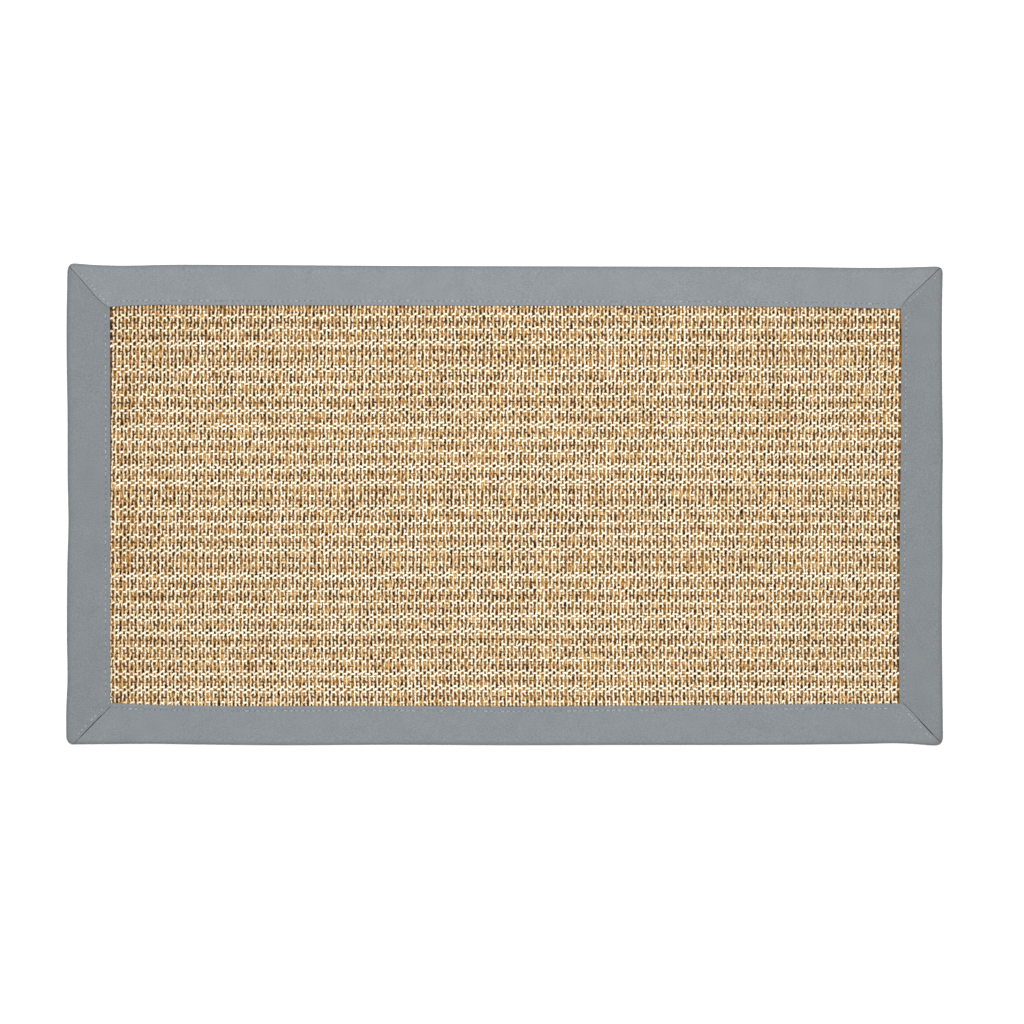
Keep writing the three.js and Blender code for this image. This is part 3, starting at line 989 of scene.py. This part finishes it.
def tape_strip(index):
    """One strip: its folded section carried along the side, from mitre to mitre."""
    length = side_span(index)[1]
    first, last = END_STATIONS[-1], length - END_STATIONS[-1]
    middle = np.linspace(first, last, round((last - first) / STATION_STEP) + 1)
    distance = np.concatenate([END_STATIONS[:-1], middle, [length - d for d in END_STATIONS[-2::-1]]])
    share = distance / length
    count = len(distance)
    lifted = np.interp(distance, [0, 0.35, 1.5, 10, 24], [0.2, 0.8, 1, 0.85, 0]) * OVERLAP_RISE
    lining = np.interp(distance, [0, 3, 8], [OVERLAP_RISE + 0.45, OVERLAP_RISE + 0.3, 0])
    columns = []
    quiet = np.random.default_rng(TAPE_SEED + index)

    def uneven(step, spread):
        knots = np.arange(0, length + 2 * step, step)
        return np.interp(distance, knots, quiet.normal(0, spread, int(length // step) + 3))

    slow = uneven(30, 0.12)
    hem_wave = uneven(8, 0.1)
    direction = to_rug(index, 1, 0)
    width = BORDER_SIDES[index]["inner"]["wide"][0]
    fade = np.clip(1 - distance / OVERLAP_FADE, 0, 1) ** 1.5

    def line(depth, height, from_inner=False, lift=0.0, lap=1.0):
        flat = border_points(index, share, depth, from_inner)
        deep = (width + depth if from_inner else depth) / width
        lapped = np.interp(deep, OVERLAP_DEPTHS, OVERLAPS[index]) * fade * lap
        flat = flat - lapped[:, None] * direction
        columns.append(np.column_stack([flat, np.broadcast_to(height + lift, count)]))

    def fold_point(angle, inset, lift):
        """A line of the round outer fold, or of its lining, at an angle from the top."""
        upper = max(0.0, math.cos(angle))
        line(
            FOLD_RADIUS - (FOLD_RADIUS - inset) * math.sin(angle),
            TAPE_TOP / 2 + (TAPE_TOP / 2 - inset) * math.cos(angle), lift=lift * upper, lap=upper,
        )

    for depth, rise in zip(reversed(TOP_LEG["depth"]), reversed(TOP_LEG["rise"])):
        near_hem = depth < 0
        wave = slow + (hem_wave if near_hem and depth > -5 else 0)
        line(depth, TAPE_TOP + rise + wave * (0.6 if near_hem else 1.0), near_hem, lifted)
    for k in range(FOLD_STEPS + 1):
        fold_point(math.pi * k / FOLD_STEPS, 0, lifted)
    line(UNDER_LEG - 0.3, 0.0, lap=0.0)
    line(UNDER_LEG - 0.3, TAPE_THICK, lap=0.0)
    for k in range(LINING_FOLD_STEPS + 1):
        fold_point(math.pi * (1 - k / LINING_FOLD_STEPS), TAPE_THICK, lining)
    line(-0.2, TAPE_TOP - TAPE_THICK, True, lining)
    line(0.0, TAPE_TOP - TAPE_THICK + 0.45, True, lining)
    around = len(columns)
    grid = np.stack(columns, 1)
    setback = MITRE_GAP * math.sqrt(2)
    grid[0, :, :2] += setback * direction
    grid[-1, :, :2] -= setback * direction
    number = np.arange(count * around).reshape(count, around)
    faces = grid_faces(np.column_stack([number, number[:, 0]]))
    faces.append(tuple(number[0]))
    faces.append(tuple(number[-1][::-1]))
    made = mesh_object(BORDER_SIDES[index]["name"] + "_tape", grid.reshape(-1, 3) * MM, faces)
    made.data.polygons.foreach_set("use_smooth", [True] * (len(faces) - 2) + [False, False])
    steps = np.linalg.norm(np.diff(grid[count // 2], axis=0), axis=1)
    depth_in = np.concatenate([[0], np.cumsum(steps)])
    cloth = np.stack(np.broadcast_arrays(distance[:, None], depth_in[None]), -1).reshape(-1, 2) * MM
    # How far each line lies from the outer fold, which the canvas reads for painted shade on the fold.
    from_fold = np.clip(np.abs(np.arange(around) - FOLD_COLUMN) / 5, 0, 1)
    keep_values(made.data, "tape_along", cloth[:, 0])
    keep_values(made.data, "tape_across", cloth[:, 1])
    keep_values(made.data, "fold", np.broadcast_to(from_fold, (count, around)).ravel())
    return made


TAPE_GREYS = [(0.25, (120, 126, 131)), (0.58, (150, 156, 160)), (0.9, (172, 177, 180))]
TAPE_THREADS = {"tape_along": 0.62, "tape_across": 0.78}


def tape_material(name, tone_and_painted_sheen):
    """Plain grey canvas: fine crossing threads and soft mottling, with a painted shadow line in the
    crease at the strip's folded start and painted shade on the round outer fold.
    """
    material = plain_material(name, (0.28, 0.3, 0.32), 0.92)
    add = node_maker(material.node_tree)
    place = add("ShaderNodeTexCoord").outputs["Object"]
    threads = []
    for run, pitch in TAPE_THREADS.items():
        turn = maths(add, "MULTIPLY", stored(add, run), 2 * math.pi / (pitch * MM))
        threads.append(maths(add, "SINE", turn))
    crossing = maths(add, "MULTIPLY", *threads)
    slub = noise(add, place, 900.0, 3.0)
    mottle = noise(add, place, 45.0, 4.0)
    level = maths(add, "MULTIPLY_ADD", crossing, 0.10, slub)
    level = maths(add, "MULTIPLY_ADD", mottle, 0.15, level)
    color = color_ramp(add, level, [
        (place_on_ramp, srgb(*(tone_and_painted_sheen * c for c in grey))) for place_on_ramp, grey in TAPE_GREYS
    ])
    millimetres = maths(add, "MULTIPLY", stored(add, "tape_along"), 1 / MM)
    # Painted shadow: a dark line in the crease along the strip's folded start over the mitre.
    painted_crease_shadow = color_ramp(add, millimetres, [(0.5, srgb(84, 84, 84)), (1.5, (1, 1, 1, 1))])
    # Painted shade: the round outer fold is a little darker.
    painted_fold_shade = color_ramp(add, stored(add, "fold"), [(0.0, srgb(238, 238, 238)), (1.0, (1, 1, 1, 1))])
    for shade in (painted_crease_shadow, painted_fold_shade):
        color = multiplied(add, color, shade)
    height = maths(add, "MULTIPLY_ADD", slub, 0.7, crossing)
    finish = {"Specular IOR Level": 0.15, "Sheen Weight": 0.1}
    return dressed(material, add, color, (height, 0.5, 0.0002), finish)


# Each strip's tone with a painted sheen: the upper strip is lightest and the side strips darkest.
TAPE_TONE_AND_PAINTED_SHEEN = [0.837, 0.79, 0.813, 0.79]
for side_index, side in enumerate(BORDER_SIDES):
    tape = tape_strip(side_index)
    tape.data.materials.append(tape_material(side["name"] + "_canvas", TAPE_TONE_AND_PAINTED_SHEEN[side_index]))
    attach(tape, "root")
    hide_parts(side["name"])

# The sewing: one line of grey thread along the border's inner edge, about 6 mm in, and one
# beside each mitre fold, on the strip that lies on top. Each stitch sinks into the tape at
# both ends, where the needle left a small hole; the hole's shade is painted as a small dark patch.
STITCH_PITCH = 6.9
MITRE_STITCH_PITCH = 6.0
MITRE_STITCH_INSET = 5.0
MITRE_STITCH_ENDS = (5.0, 4.0)
STITCH_SINK = 0.3
MITRE_STITCH_SINK = 0.1
THREAD_TWIST = 1.1
THREAD_SIDES = 7
# Span, width, rise and bend.
THREAD = (5.6, 1.2, 0.5, 0.0)
NEEDLE_HOLE = (1.0, 1.0, 0.2, 0.0)
HOLE_SINK = 0.15
THREAD_TONE = 0.35
THREAD_TONE_SPREAD = 0.28
STITCH_WANDER = 0.15
STITCH_TURN_SPREAD = 0.06


def thread_material():
    """Spun cotton thread, a shade lighter than the tape, with its own fine twist."""
    material = plain_material("grey_thread", (0.34, 0.36, 0.38), 0.8)
    add = node_maker(material.node_tree)
    lay = 1 / (THREAD_TWIST * MM)
    twist = maths(add, "MULTIPLY_ADD", stored(add, "along"), lay, stored(add, "around"))
    wave = maths(add, "SINE", maths(add, "MULTIPLY", twist, 2 * math.pi))
    level = maths(add, "MULTIPLY_ADD", wave, 0.3, stored(add, "tone"))
    color = color_ramp(add, level, [(0.0, srgb(116, 121, 125)), (1.0, srgb(164, 169, 172))])
    return dressed(material, add, color, (wave, 0.5, 0.0001))


def stitch_line(index):
    """The stitches along a strip's inner edge, from corner to corner."""
    start, end = inner_span(index)
    length = end - start - 2 * HEM_LINE
    count = round(length / STITCH_PITCH)
    share = (HEM_LINE + (np.arange(count) + 0.5) * length / count) / (end - start)
    flat = border_points(index, share, -HEM_LINE, True)
    direction = to_rug(index, 1, 0)
    heading = np.full(count, math.atan2(direction[1], direction[0]))
    return flat, heading, np.full(count, TAPE_TOP - STITCH_SINK)


def mitre_line(index):
    """The stitches beside the mitre where a strip starts, on that strip."""
    width = BORDER_SIDES[index]["inner"]["wide"][0]
    direction = to_rug(index, 1, 0)
    outer_end, inner_end = MITRE_STITCH_ENDS
    run = width - outer_end - inner_end
    count = round(run * math.sqrt(2) / MITRE_STITCH_PITCH)
    deep = outer_end + (np.arange(count) + 0.5) * run / count
    lap = np.interp(deep / width, OVERLAP_DEPTHS, OVERLAPS[index]) - MITRE_STITCH_INSET * math.sqrt(2)
    flat = border_points(index, np.zeros(count), deep) - lap[:, None] * direction
    steps = np.gradient(flat, axis=0)
    height = np.full(count, TAPE_TOP + OVERLAP_RISE - MITRE_STITCH_SINK)
    return flat, np.arctan2(steps[:, 1], steps[:, 0]), height


def needle_hole_shade_material():
    """Painted shade for the hole where the needle pushed the tape's threads apart: a dark fuzzy patch.
    """
    material = plain_material("needle_hole_shade", (0.06, 0.065, 0.07), 1.0)
    add = node_maker(material.node_tree)
    place = add("ShaderNodeTexCoord").outputs["Object"]
    fuzz = noise(add, place, 2400.0, 3.0)
    color = color_ramp(add, fuzz, [(0.35, srgb(52, 55, 58)), (0.7, srgb(104, 109, 113))])
    return dressed(material, add, color)


grey_thread = thread_material()
hole_shadow = needle_hole_shade_material()
for side_index, side in enumerate(BORDER_SIDES):
    rows = [stitch_line(side_index), mitre_line(side_index)]
    flat, heading, height = (np.concatenate(part) for part in zip(*rows))
    heading = heading + chance.normal(0, STITCH_TURN_SPREAD, len(heading))
    spots = np.column_stack([flat, height])
    tones = chance.normal(THREAD_TONE, THREAD_TONE_SPREAD, len(spots))
    spots[:, :2] += chance.normal(0, STITCH_WANDER, (len(spots), 2))
    sewing = arches(
        side["name"] + "_sewing", spots, heading, tones,
        THREAD, grey_thread, seed=11, sides=THREAD_SIDES, steps=6,
    )
    step = np.column_stack([np.cos(heading), np.sin(heading), np.zeros(len(heading))]) * THREAD[0] / 2
    holes = np.concatenate([spots - step, spots + step])
    holes[:, 2] -= HOLE_SINK
    # Small dark patches sunk into the tape: painted shade of the needle holes.
    punched = arches(
        side["name"] + "_needle_hole_shades", holes, np.tile(heading, 2), np.ones(len(holes)),
        NEEDLE_HOLE, hole_shadow, seed=12, sides=THREAD_SIDES, steps=2,
    )
    for piece in (sewing, punched):
        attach(piece, "root")
